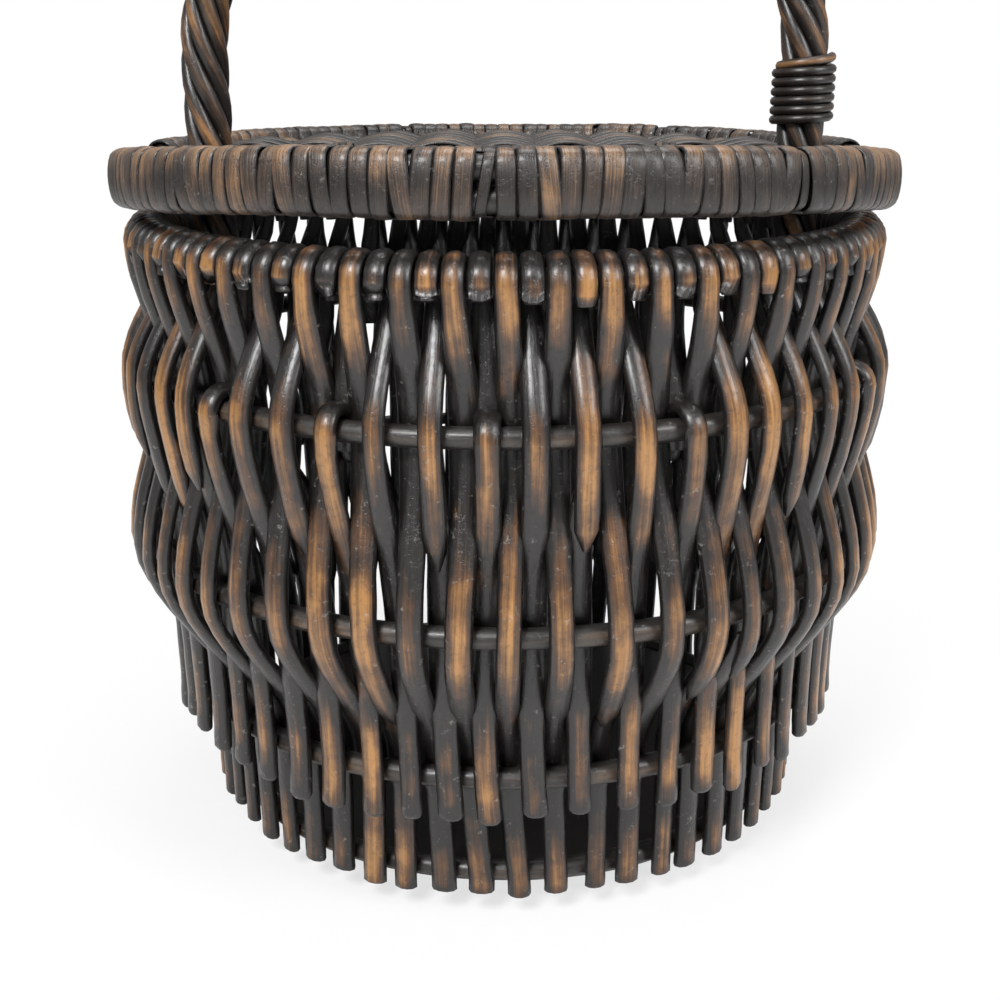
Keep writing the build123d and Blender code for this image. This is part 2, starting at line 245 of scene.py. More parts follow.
@dataclass(frozen=True)
class StainedWillow:
    """Dark stained willow, worn to bare golden wood on its high faces."""

    name: str
    dark: tuple[float, float, float]
    middle: tuple[float, float, float]
    golden: tuple[float, float, float]
    wear: float
    contrast: float = 1.5
    roughness: float = 0.42
    fibre_scale: float = 1.0
    fibre_depth: float = 0.25
    dust: float = 0.12
    wax: float = 0.25

    def material(self, stain: bpy.types.NodeTree) -> bpy.types.Material:
        """Builds the material.

        Args:
            stain: the worn stain shader group.

        Returns:
            The new material.
        """
        material = bpy.data.materials.new(self.name)
        material.use_nodes = True
        tree = material.node_tree
        tree.nodes.clear()
        b = TreeBuilder(tree)
        group = b.add("ShaderNodeGroup", node_tree=stain)
        group.inputs["Amount"].default_value = self.wear
        group.inputs["Contrast"].default_value = self.contrast
        group.inputs["Fibre Scale"].default_value = self.fibre_scale
        ramp = b.add("ShaderNodeValToRGB", {"Fac": group.outputs["Worn"]})
        stops = ramp.color_ramp.elements
        stops[0].color = (*self.dark, 1)
        stops[1].color = (*self.golden, 1)
        stops.new(0.42).color = (*self.middle, 1)
        shade = b.math("ADD", 0.30, b.math("MULTIPLY", group.outputs["Streak"], 1.35))
        shade = b.math("MULTIPLY", shade, b.math("SUBTRACT", 1.0, b.math("MULTIPLY", group.outputs["Pits"], 0.38)))
        tinted = b.add("ShaderNodeVectorMath", {0: ramp.outputs[0], 3: shade}, operation="SCALE").outputs[0]
        dusty = b.add("ShaderNodeMix", {"Factor": b.math("MULTIPLY", group.outputs["Dust"], self.dust),
                                        6: tinted, 7: (0.42, 0.39, 0.35, 1)}, data_type="RGBA").outputs[2]
        rough = b.math("ADD", self.roughness - 0.12, b.math("MULTIPLY", group.outputs["Streak"], 0.24))
        height = b.math("ADD", group.outputs["Streak"], b.math("MULTIPLY", group.outputs["Dust"], 0.5))
        height = b.math("SUBTRACT", height, b.math("MULTIPLY", group.outputs["Pits"], 0.35))
        bump = b.add("ShaderNodeBump", {"Height": height, "Strength": self.fibre_depth,
                                        "Distance": 0.0006}).outputs[0]
        shader = b.add("ShaderNodeBsdfPrincipled", {"Base Color": dusty, "Roughness": rough, "Normal": bump,
                                                    "Coat Weight": self.wax, "Coat Roughness": 0.24})
        out = b.add("ShaderNodeOutputMaterial")
        tree.links.new(shader.outputs[0], out.inputs[0])
        return material


FINISHES: dict[Slot, StainedWillow] = {
    Slot.WILLOW: StainedWillow("Stained willow stake", (0.0085, 0.0068, 0.0060), (0.080, 0.035, 0.0130),
                               (0.310, 0.150, 0.045), wear=0.62, contrast=1.4, roughness=0.40,
                               fibre_depth=0.55, dust=0.45, wax=0.35),
    Slot.HOOP_ROD: StainedWillow("Stained hoop rod", (0.022, 0.0190, 0.0170), (0.060, 0.044, 0.034),
                                 (0.130, 0.085, 0.055), wear=0.6, contrast=1.2, roughness=0.44,
                                 fibre_depth=0.4, dust=0.3),
    Slot.BASE_WOOD: StainedWillow("Stained base wood", (0.010, 0.007, 0.006), (0.030, 0.017, 0.010),
                                  (0.080, 0.042, 0.020), wear=0.5, roughness=0.6),
    Slot.ROPE_WILLOW: StainedWillow("Twisted handle willow", (0.0115, 0.0090, 0.0075), (0.056, 0.029, 0.0150),
                                    (0.250, 0.124, 0.046), wear=0.62, contrast=1.4, fibre_depth=0.4, dust=0.3),
    Slot.CANE: StainedWillow("Binding cane", (0.012, 0.0090, 0.007), (0.055, 0.028, 0.014),
                             (0.240, 0.124, 0.050), wear=0.55, contrast=1.3, roughness=0.4),
    Slot.FRAME_ROD: StainedWillow("Stained frame rod", (0.010, 0.0075, 0.006), (0.032, 0.019, 0.012),
                                  (0.100, 0.056, 0.028), wear=0.5, roughness=0.5),
    Slot.SKEIN: StainedWillow("Flat skein wrapping", (0.0125, 0.0092, 0.0075), (0.046, 0.0285, 0.0190),
                              (0.210, 0.118, 0.058), wear=0.60, contrast=1.45, roughness=0.40,
                              fibre_scale=1.6, fibre_depth=0.7, dust=0.3),
    Slot.WEAVE: StainedWillow("Lid weaving", (0.012, 0.009, 0.0072), (0.044, 0.026, 0.0160),
                              (0.160, 0.090, 0.042), wear=0.56, roughness=0.44, fibre_depth=0.5, dust=0.2),
}


@dataclass
class Workshop:
    """Turns rods into finished meshes that ride on the basket's bodies."""

    tree: bpy.types.NodeTree
    materials: dict[Slot, bpy.types.Material]
    made: list[bpy.types.Object] = field(default_factory=list)

    def sweep(self, name: str, rods: list[Rod], slot: Slot, body: Body, nodes: tuple[str, ...],
              sides: int = 10, flatness: float = 1.0, knots: float = 0.35, spacing: float = 9.0) -> bpy.types.Object:
        """Sweeps rods along their paths as one piece.

        Args:
            name: the piece's name.
            rods: the paths.
            slot: the material slot of its finish.
            body: the body that it rides on.
            nodes: the CAD nodes that it stands for.
            sides: corners of the rods' section.
            flatness: thickness of the section as a share of its width.
            knots: height of the unevenness in millimetres.
            spacing: distance between knots in millimetres.

        Returns:
            The finished object.
        """
        source = self._paths(name, rods)
        values = {"Sides": sides, "Flatness": flatness, "Knot Height": knots * MM, "Knot Spacing": spacing * MM,
                  "Seed": SEED, "Material": self.materials[slot]}
        modifier = source.modifiers.new("Rods", "NODES")
        modifier.node_group = self.tree
        sockets = {s.name: s.identifier for s in self.tree.interface.items_tree if s.in_out == "INPUT"}
        for key, value in values.items():
            modifier[sockets[key]] = value
        graph = bpy.context.evaluated_depsgraph_get()
        mesh = bpy.data.meshes.new_from_object(source.evaluated_get(graph), depsgraph=graph)
        mesh.name = name
        source.modifiers.remove(modifier)
        bpy.data.objects.remove(source)
        piece = bpy.data.objects.new(name, mesh)
        bpy.context.scene.collection.objects.link(piece)
        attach(piece, body.value)
        if nodes:
            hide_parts(*nodes)
        self.made.append(piece)
        LOG.info("%s: %d rods, %d faces", name, len(rods), len(mesh.polygons))
        return piece

    def _paths(self, name: str, rods: list[Rod]) -> bpy.types.Object:
        """Lays the rods' paths in one mesh of edges, with their sizes as attributes."""
        mesh = bpy.data.meshes.new(f"{name} paths")
        counts = [len(r.points) for r in rods]
        starts = np.cumsum([0] + counts)
        edges = [(s + k, s + k + 1) for s, n in zip(starts, counts) for k in range(n - 1)]
        points = np.concatenate([r.points for r in rods]) * MM
        mesh.from_pydata(points.tolist(), edges, [])

        def put(label: str, kind: str, field_name: str, values: np.ndarray) -> None:
            """Stores one attribute on the path points."""
            store = mesh.attributes.new(label, kind, "POINT")
            store.data.foreach_set(field_name, np.ascontiguousarray(values, dtype=np.float32).ravel())

        put("side", "FLOAT_VECTOR", "vector", np.concatenate([r.side for r in rods]))
        put("away", "FLOAT_VECTOR", "vector", np.concatenate([r.away for r in rods]))
        put("thick", "FLOAT", "value", np.concatenate([r.half_width for r in rods]) * MM)
        put("wear", "FLOAT", "value", np.concatenate([r.wear for r in rods]))
        put("tone", "FLOAT", "value", np.concatenate([np.full(n, r.tone) for n, r in zip(counts, rods)]))
        put("along", "FLOAT", "value", np.concatenate([
            np.concatenate([[0], np.cumsum(np.linalg.norm(np.diff(r.points, axis=0), axis=1))]) * MM for r in rods
        ]))
        source = bpy.data.objects.new(f"{name} paths", mesh)
        bpy.context.scene.collection.objects.link(source)
        return source


def unit(vectors: np.ndarray) -> np.ndarray:
    """Vectors scaled to length one."""
    return vectors / np.maximum(np.linalg.norm(vectors, axis=-1, keepdims=True), 1e-9)


def tangents(points: np.ndarray) -> np.ndarray:
    """The way a path runs at each of its points."""
    return unit(np.gradient(points, axis=0))


def eased(anchors: list[tuple[float, ...]], steps: int) -> np.ndarray:
    """Rows between anchors: the first column runs evenly and the others ease in and out."""
    rows = np.array(anchors, dtype=float)
    out = [rows[:1]]
    for a, b in zip(rows, rows[1:]):
        t = np.linspace(0, 1, steps + 1)[1:, None]
        ease = t * t * (3 - 2 * t)
        part = a + (b - a) * ease
        part[:, 0] = (a + (b - a) * t)[:, 0]
        out.append(part)
    return np.concatenate(out)


def blunt(widths: np.ndarray, share: float = 0.72) -> np.ndarray:
    """Widths with both ends of the rod rounded off."""
    out = widths.copy()
    out[[0, -1]] *= share
    return out


@dataclass
class Wall:
    """The hoops, stakes and foot ring."""

    shop: Workshop
    pairs: int = 56
    rod: float = 4.3
    rim_rod: float = 5.3
    stake_half_width: float = 4.8
    stake_flatness: float = 0.63
    hoops: dict[str, tuple[float, float]] = field(default_factory=lambda: {
        "base": (126.0, 17.0), "waist": (141.5, 67.0), "belly": (157.5, 132.0),
        "shoulder": (156.0, 206.0), "rim": (150.3, 258.3),
    })
    spliced_share: float = 0.42
    spliced_at: tuple[float, ...] = (-43.0, -25.5, -1.5, 24.4, 61.0, 118.0, 171.0, -102.0, -149.0)

    def build(self) -> None:
        """Builds every piece of the wall."""
        rng = np.random.default_rng(SEED)
        for name, (radius, height) in self.hoops.items():
            thick = self.rim_rod if name == "rim" else self.rod
            self.shop.sweep(f"{name}_hoop_rod", [self.hoop(radius, height, thick, rng)], Slot.HOOP_ROD,
                            Body.BASKET, (f"{name}_hoop",), knots=0.5, spacing=14)
        long_rods, short_rods = [], []
        for k in range(self.pairs):
            long_rods += self.long_stake(math.tau * k / self.pairs, rng)
            short_rods += self.short_stake(math.tau * (k + 0.5) / self.pairs, rng)
        self.shop.sweep("long_stake_rods", long_rods, Slot.WILLOW, Body.BASKET, ("long_stakes",),
                        flatness=self.stake_flatness, knots=0.9, spacing=8)
        self.shop.sweep("short_stake_rods", short_rods, Slot.WILLOW, Body.BASKET, ("short_stakes",),
                        flatness=self.stake_flatness, knots=0.9, spacing=8)
        self.shop.sweep("foot_ring_rod", [self.hoop(104.0, 6.5, 5.7, rng)], Slot.BASE_WOOD, Body.BASKET,
                        ("foot_ring",), knots=0.2, spacing=14)

    def hoop(self, radius: float, height: float, thick: float, rng: np.random.Generator) -> Rod:
        """A rod bent into a ring, its thin ends lapped over each other."""
        count = 181
        angles = np.linspace(0, math.tau * 1.02, count) + math.radians(100)
        drift = 0.25 * np.sin(angles * 3 + rng.uniform(0, 6)) + 0.2 * np.sin(angles * 7)
        ramp = np.interp(np.linspace(0, 1, count), [0, 0.03, 0.97, 1], [-0.9, 0, 0, 0.9])
        out = np.stack([np.cos(angles), np.sin(angles), np.zeros(count)], axis=1)
        points = out * (radius + 0.3 * drift[:, None])
        points[:, 2] = height + drift * 0.6 + ramp
        widths = thick * (1 + 0.02 * np.sin(angles * 5 + 1))
        widths *= np.interp(np.linspace(0, 1, count), [0, 0.03, 0.97, 1], [0.5, 1, 1, 0.5])
        up = np.tile([0.0, 0.0, 1.0], (count, 1))
        wear = 0.6 + 0.3 * np.sin(angles * 9 + rng.uniform(0, 6))
        return Rod(points, up, out, widths, wear, float(rng.uniform(0.3, 0.7)))

    def _seat(self, name: str, side: int) -> tuple[float, float]:
        """Height and radius of a stake's middle where it passes a hoop on one side."""
        radius, height = self.hoops[name]
        return height, radius + side * (self.rod + 0.1 + self.stake_half_width * self.stake_flatness)

    def _over(self, name: str, start: float, end: float, tail: float) -> list[tuple[float, float, float]]:
        """Rows of height, radius and wear for a bend over a hoop, ending in a short tail."""
        radius, height = self.hoops[name]
        reach = (self.rim_rod if name == "rim" else self.rod) + 0.1 + self.stake_half_width * self.stake_flatness
        turn = np.radians(np.linspace(start, end, 9))
        rows = [(height + reach * math.sin(a), radius + reach * math.cos(a), 0.25 + 0.75 * (0.5 + 0.5 * math.cos(a)))
                for a in turn]
        last = radius + reach * math.cos(turn[-1])
        shade = rows[-1][2]
        rows += [(height - tail * s, last, shade * (1 - 0.5 * s)) for s in (0.5, 1.0)]
        return rows

    def _rod(self, rows: np.ndarray, angle: float, rng: np.random.Generator,
             tips: tuple[float, float] = (0, 0)) -> Rod:
        """Places rows of height, radius and wear at an angle, with a little sway.

        Args:
            rows: height, radius and wear along the stake, from its foot.
            angle: where it stands round the basket, in radians.
            rng: source of the unevenness.
            tips: length of the slanted cut at its foot and at its top, or 0.

        Returns:
            The stake.
        """
        height, radius, wear = rows.T
        drop = np.clip((258 - height) / 241, 0, 1)
        sway = np.radians(self._drift(angle, 0.0) + rng.normal(0, 0.10)) * np.sin(drop * math.pi)
        sway += np.radians(self._drift(angle, 2.0) + rng.normal(0, 0.08)) * np.sin(drop * math.tau)
        sway += np.radians(2.4) * drop
        turn = angle + sway
        away = np.stack([np.cos(turn), np.sin(turn), np.zeros_like(turn)], axis=1)
        side = np.stack([-np.sin(turn), np.cos(turn), np.zeros_like(turn)], axis=1)
        points = away * radius[:, None]
        points[:, 2] = height
        size = rng.uniform(0.85, 1.09)
        taper = np.interp(height, [0, 240, 262], [1.03, 1.0, 0.96])
        room = radius * math.pi / (2 * self.pairs) * 0.985
        inside = np.clip(1 - wear * 1.6, 0, 1) * np.clip((246 - height) / 12, 0, 1) * (height > 60)
        widths = np.where(height > 246, np.minimum(self.stake_half_width * size, room),
                          self.stake_half_width * size * (1 + 0.25 * inside)) * taper
        face = unit(away + np.where(height > 266, 1.2, 0.0)[:, None] * np.array([0, 0, 1.0]))
        run = np.concatenate([[0], np.cumsum(np.linalg.norm(np.diff(points, axis=0), axis=1))])
        point = np.ones_like(run)
        for cut, length in ((tips[0], run), (tips[1], run[-1] - run)):
            if cut:
                point *= np.interp(length, [0, 3, cut], [0.35, 0.62, 1.0])
        return Rod(points, side, face, blunt(widths * point), wear, float(rng.uniform(0, 1)))

    def _spliced(self, rows: np.ndarray, at: float, angle: float, rng: np.random.Generator) -> list[Rod]:
        """Cuts a stake in two at a height, its slanted ends lapped one in front of the other."""
        split = int(np.argmax(rows[:, 0] > at))
        lower, upper = rows[:split + 3].copy(), rows[split - 1:].copy()
        lower[-8:, 1] -= np.linspace(0, 2.8, 8)
        upper[:5, 1] += np.linspace(2.2, 0, 5)
        upper[:4, 2] = np.maximum(upper[:4, 2], 0.75)
        turn = rng.choice([-1, 1]) * math.radians(0.55)
        return [self._rod(lower, angle + turn, rng, (0, 14)), self._rod(upper, angle, rng, (10, 0))]

    def _drift(self, angle: float, phase: float) -> float:
        """Degrees that the stakes near an angle lean together, so that no gap opens between them."""
        return (0.55 * math.sin(5 * angle + 0.7 + phase) + 0.4 * math.sin(9 * angle + 2.1 * phase)
                + 0.16 * math.sin(15 * angle + 1.3 + 3 * phase))

    def long_stake(self, angle: float, rng: np.random.Generator) -> list[Rod]:
        """A stake that starts outside the base hoop and bends in over the rim."""
        foot, base = self._seat("base", 1)[0] - rng.uniform(5, 8), self._seat("base", 1)
        rows = eased([
            (foot, base[1], 0.5), (*base, 0.8), (*self._seat("waist", -1), 0.0), (*self._seat("belly", 1), 1.0),
            (*self._seat("shoulder", -1), 0.05), (self.hoops["rim"][1] - 1, self._rim_reach(1), 1.0),
        ], 9)
        over = np.array(self._over("rim", 0, 180, rng.uniform(7, 10)))
        whole = np.concatenate([rows, over])
        if rng.random() < self.spliced_share:
            return self._spliced(whole, rng.uniform(86, 112), angle, rng)
        return [self._rod(whole, angle, rng)]

    def _rim_reach(self, side: int) -> float:
        """Radius of a stake's middle beside the rim hoop."""
        return self.hoops["rim"][0] + side * (self.rim_rod + 0.1 + self.stake_half_width * self.stake_flatness)

    def short_stake(self, angle: float, rng: np.random.Generator) -> list[Rod]:
        """A stake cut off below the waist hoop, bent out over the rim; a few are spliced."""
        waist, belly, shoulder = self._seat("waist", 1), self._seat("belly", -1), self._seat("shoulder", 1)
        foot = waist[0] - rng.uniform(11, 17)
        low = [(foot, waist[1] + 0.5, 0.45), (*waist, 0.9), (*belly, 0.0), (*shoulder, 1.0)]
        top = (self.hoops["rim"][1] - 1, self._rim_reach(-1), 0.1)
        over = np.array(self._over("rim", 180, -22, rng.uniform(4.5, 7)))
        front = math.degrees(angle) % 360 - 270
        front = (front + 180) % 360 - 180
        if min(abs(front - a) for a in self.spliced_at) < 180 / self.pairs + 0.01:
            bend = np.array(self._over("shoulder", 0, 150, 9.0))
            lower = np.concatenate([eased(low, 9), bend])
            upper = np.concatenate([eased([(shoulder[0] - 14, shoulder[1] - 17.5, 0.1), (*self._seat("shoulder", -1), 0.1), top], 9), over])
            return [self._rod(lower, angle, rng), self._rod(upper, angle, rng)]
        whole = np.concatenate([eased(low + [top], 9), over])
        if rng.random() < self.spliced_share:
            return self._spliced(whole, rng.uniform(158, 182), angle, rng)
        return [self._rod(whole, angle, rng)]


@dataclass
class BowHandle:
    """The twisted bow handle with its two cane bindings."""

    shop: Workshop
    half_span: float = 126.3
    spring: float = 325.0
    core: float = 3.6
    ring: float = 7.15
    strand_half_width: float = 3.45
    strand_flatness: float = 0.82
    pitch: float = 105.0
    strands: int = 6
    root: float = 222.0
    core_root: float = 73.5

    def build(self) -> None:
        """Builds the core, the strands and the bindings."""
        rng = np.random.default_rng(SEED + 1)
        centre, out = self.line(self.core_root, 160)
        y_side = np.tile([0.0, 1.0, 0.0], (len(centre), 1))
        self.shop.sweep("handle_core_rod", [Rod(centre, y_side, out, blunt(np.full(len(centre), self.core)),
                                                np.full(len(centre), 0.3), 0.4)],
                        Slot.FRAME_ROD, Body.BASKET, ("handle_core",), knots=0.2)
        tones = (0.35, 0.8, 0.2, 0.55, 0.95, 0.1)
        for k in range(self.strands):
            self.shop.sweep(f"handle_strand_{k + 1}_rod", [self.strand(math.tau * k / self.strands, tones[k])],
                            Slot.ROPE_WILLOW, Body.BASKET, (f"handle_strand_{k + 1}",),
                            flatness=self.strand_flatness, knots=0.5, spacing=10)
        rope = self.ring + self.strand_half_width * self.strand_flatness
        self.shop.sweep("right_leg_cane", self.binding(self.half_span, 313.8, rope, rng), Slot.CANE, Body.BASKET,
                        ("right_leg_binding",), sides=9, knots=0.15)
        self.shop.sweep("left_leg_cane", self.binding(-self.half_span, 234.0, rope, rng), Slot.CANE, Body.BASKET,
                        ("left_leg_binding",), sides=9, knots=0.15)

    def line(self, root: float, count: int) -> tuple[np.ndarray, np.ndarray]:
        """The bow's centre line from a height on the left leg to the same on the right, and the way out."""
        leg, arch = self.spring - root, math.pi * self.half_span
        s = np.linspace(0, 2 * leg + arch, count)
        angle = math.pi - np.clip((s - leg) / self.half_span, 0, math.pi)
        out = np.stack([np.cos(angle), np.zeros(count), np.sin(angle)], axis=1)
        centre = out * self.half_span
        centre[:, 2] += self.spring - np.maximum(leg - s, 0) - np.maximum(s - leg - arch, 0)
        return centre, out

    def strand(self, first: float, tone: float) -> Rod:
        """One willow strand wound round the core."""
        length = 2 * (self.spring - self.root) + math.pi * self.half_span
        count = int(length / self.pitch * 22)
        centre, out = self.line(self.root, count)
        s = np.linspace(0, length, count)
        turn = first - math.tau * s / self.pitch
        away = out * np.cos(turn)[:, None] + np.array([0.0, -1.0, 0.0]) * np.sin(turn)[:, None]
        points = centre + away * self.ring
        side = unit(np.cross(tangents(points), away))
        widths = self.strand_half_width * (1 + 0.05 * np.sin(s / 31 + first * 3))
        wear = 0.72 + 0.28 * np.sin(s / 55 + first * 2.3)
        return Rod(points, side, away, blunt(widths), wear, tone)

    def binding(self, x: float, height: float, rope: float, rng: np.random.Generator) -> list[Rod]:
        """Turns of round cane, with a loose end laid slanting over the top ones."""
        cane = 1.95
        turns, per = 6, 24
        t = np.linspace(0, turns, turns * per)
        angle = math.tau * t + 0.8
        away = np.stack([np.cos(angle), np.sin(angle), np.zeros_like(angle)], axis=1)
        points = away * (rope + cane * 0.8)
        points[:, 0] += x
        points[:, 2] = height + (t - turns / 2) * 2 * cane * 0.98
        up = np.tile([0.0, 0.0, 1.0], (len(t), 1))
        rods = [Rod(points, up, away, blunt(np.full(len(t), cane)), np.full(len(t), 0.55), 0.4)]
        angle = np.radians(np.linspace(-175, -5, 24))
        away = np.stack([np.cos(angle), np.sin(angle), np.zeros_like(angle)], axis=1)
        points = away * (rope + cane * 0.55)
        points[:, 0] += x
        points[:, 2] = height + 12.2 + np.linspace(-0.4, 3.6, 24)
        up = np.tile([0.0, 0.0, 1.0], (24, 1))
        rods.append(Rod(points, up, away, blunt(np.full(24, cane)), np.full(24, 1.0), 0.75))
        return rods


def skein_turns(path: np.ndarray, out: np.ndarray, up: np.ndarray, half_out: float, half_up: float, corner: float,
                pitch: float, strip: float, rng: np.random.Generator, lean: float = 5.0,
                gaps: tuple[float, ...] = ()) -> list[Rod]:
    """Strips of flat skein wound one beside the other round a straight or bent bundle.

    Args:
        path: the bundle's centre line.
        out: the way away from its bend, at each point.
        up: the way up from it, at each point.
        half_out: half its width along out, to the middle of the strips.
        half_up: half its height along up, to the middle of the strips.
        corner: radius of its rounded corners.
        pitch: distance from one turn to the next.
        strip: half the width of a strip.
        rng: source of the unevenness.
        lean: how far the turns stand askew, in degrees.
        gaps: shares of the path where a turn is missing.

    Returns:
        One rod for each turn.
    """
    length = np.concatenate([[0], np.cumsum(np.linalg.norm(np.diff(path, axis=0), axis=1))])
    count = int(length[-1] // pitch)
    rods = []
    angle = np.linspace(-0.15, math.tau + 0.15, 34) - math.pi / 2
    corner = min(corner, half_out, half_up)
    ring_out = (half_out - corner) * np.sign(np.cos(angle)) * np.minimum(1, np.abs(np.cos(angle)) * 6)
    ring_out = ring_out + corner * np.cos(angle)
    ring_up = (half_up - corner) * np.clip(np.sin(angle) * 1.7, -1, 1) + corner * np.sin(angle)
    for k in range(count):
        share = (k + 0.5) / count
        bare = any(abs(share - g) < 0.5 / count for g in gaps)
        at = share * length[-1]
        centre = np.array([np.interp(at, length, path[:, i]) for i in range(3)])
        o = unit(np.array([np.interp(at, length, out[:, i]) for i in range(3)]))
        u = unit(np.array([np.interp(at, length, up[:, i]) for i in range(3)]))
        along = unit(np.cross(u, o))
        size = 0.93 if bare else 1 + rng.uniform(-0.015, 0.03)
        askew = math.tan(math.radians(rng.normal(0, lean)))
        lift = np.linspace(0, 0.5, len(angle))
        points = (centre + np.outer(ring_out * size + lift * np.cos(angle), o) + np.outer(ring_up * size, u)
                  + np.outer(ring_up * askew * np.sign(np.cos(angle) + 0.01), along))
        away = unit(np.outer(np.cos(angle), o) + np.outer(np.sin(angle), u))
        side = np.tile(along, (len(angle), 1))
        widths = strip * (0.55 if bare else 1 + rng.uniform(-0.08, 0.14)) * (1 + 0.04 * np.sin(angle * 3 + k))
        wear = 0.55 + 0.45 * np.clip(np.sin(angle), 0, 1) * np.clip(np.cos(angle) + 0.6, 0, 1)
        rods.append(Rod(points, side, away, widths, wear, 0.1 if bare else float(rng.uniform(0.15, 0.85))))
    return rods


@dataclass
class Bridge:
    """The two rods between the lids, their ties and the hinge loops."""

    shop: Workshop
    offset: float = 17.21
    height: float = 276.85
    rod: float = 6.6
    half_length: float = 147.0
    hinge_offset: float = 30.94
    hinge_height: float = 284.35

    def build(self) -> None:
        """Builds the rods, ties and loops."""
        rng = np.random.default_rng(SEED + 2)
        for side, y in (("front", -self.offset), ("rear", self.offset)):
            x = np.linspace(-self.half_length, self.half_length, 60)
            points = np.stack([x, np.full(60, y), np.full(60, self.height)], axis=1)
            up = np.tile([0.0, 0.0, 1.0], (60, 1))
            y_side = np.tile([0.0, 1.0, 0.0], (60, 1))
            self.shop.sweep(f"{side}_bridge", [Rod(points, y_side, up, blunt(np.full(60, self.rod)),
                                                   0.5 + 0.2 * np.sin(x / 17), 0.45)],
                            Slot.FRAME_ROD, Body.BASKET, (f"{side}_bridge_rod",), knots=0.3, spacing=12)
            lid_y = math.copysign(self.hinge_offset, y)
            loops = [r for x0 in (-72.5, 72.5) for r in self.band(x0, 9.0, (y, self.height),
                                                                  (lid_y, self.hinge_height), rng)]
            self.shop.sweep(f"{side}_hinge_skein", loops, Slot.SKEIN, Body.BASKET, (f"{side}_hinge_loops",),
                            sides=8, flatness=0.42, knots=0.1)
        ties = [r for x0 in (-102.0, 0.0, 102.0)
                for r in self.band(x0, 12.0, (-self.offset, self.height), (self.offset, self.height), rng)]
        self.shop.sweep("bridge_tie_skein", ties, Slot.SKEIN, Body.BASKET, ("bridge_ties",),
                        sides=8, flatness=0.42, knots=0.1)

    def band(self, x: float, width: float, first: tuple[float, float], second: tuple[float, float],
             rng: np.random.Generator) -> list[Rod]:
        """Turns of narrow skein round two rods that lie along X."""
        turns = 3
        half = width / turns / 2
        reach = 6.8 + 0.25 + 0.75
        (y1, z1), (y2, z2) = first, second
        lean = math.atan2(z2 - z1, y2 - y1)
        angles = np.concatenate([np.linspace(90, 270, 13), np.linspace(-90, 90, 13), [90]])
        rods = []
        for k in range(turns):
            rows, away = [], []
            for i, degrees in enumerate(angles):
                a = lean + math.radians(degrees)
                y, z = (y1, z1) if i < 13 or i == 26 else (y2, z2)
                rows.append((x + (k - 1) * 2 * half, y + reach * math.cos(a), z + reach * math.sin(a)))
                away.append((0.0, math.cos(a), math.sin(a)))
            points = np.array(rows)
            side = np.tile([1.0, 0.0, 0.0], (len(points), 1))
            rods.append(Rod(points, side, np.array(away), np.full(len(points), half * 1.04),
                            np.full(len(points), 0.6), float(rng.uniform(0, 1))))
        return rods


